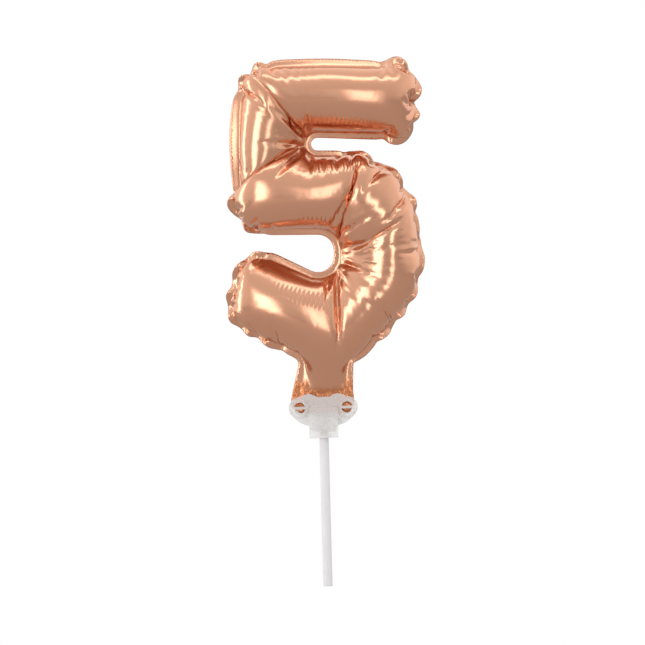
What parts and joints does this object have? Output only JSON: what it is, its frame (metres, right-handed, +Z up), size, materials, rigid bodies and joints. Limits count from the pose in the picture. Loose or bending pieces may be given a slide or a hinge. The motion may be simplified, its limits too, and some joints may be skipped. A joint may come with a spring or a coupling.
{
  "type": "foil number balloon",
  "caption": "Inflated foil number balloon with a welded border, its tail gripped by a folding clip on a hollow stick.",
  "frame": {"origin": "centre of the stick's lower end", "axes": "+Z up along the stick, the digit faces -Y, +X to the digit's right as seen from its front"},
  "size_m": [0.0894, 0.0336, 0.2291],
  "materials": {
    "foil": "rose gold metallised film",
    "valve_film": "clear thin film",
    "clip_plastic": "translucent moulded plastic",
    "stick_plastic": "white extruded tube"
  },
  "bodies": {
    "stick": {"stick": "stick_plastic"},
    "clip": {"clip_foot": "clip_plastic", "front_strip": "clip_plastic", "back_strip": "clip_plastic", "front_tail": "foil", "back_tail": "foil"},
    "front_leaf": {"front_leaf": "clip_plastic"},
    "back_leaf": {"back_leaf": "clip_plastic"},
    "balloon": {"front_film": "foil", "back_film": "foil", "front_valve": "valve_film", "back_valve": "valve_film"}
  },
  "joints": [
    {"name": "clip_off_stick", "type": "slide", "parent": "stick", "child": "clip", "axis": [0, 0, 1], "range_m": [0, 0.0082]},
    {"name": "front_leaf_fold", "type": "hinge", "parent": "clip", "child": "front_leaf", "pos_m": [0, -0.0044, 0.06795], "axis": [1, 0, 0], "range_deg": [0, 90]},
    {"name": "back_leaf_fold", "type": "hinge", "parent": "clip", "child": "back_leaf", "pos_m": [0, 0.0044, 0.06795], "axis": [-1, 0, 0], "range_deg": [0, 90]},
    {"name": "neck_bend", "type": "hinge", "parent": "clip", "child": "balloon", "pos_m": [0.0022, 0, 0.08325], "axis": [1, 0, 0], "range_deg": [-20, 20], "stiffness_Nm_per_rad": 0.005}
  ]
}
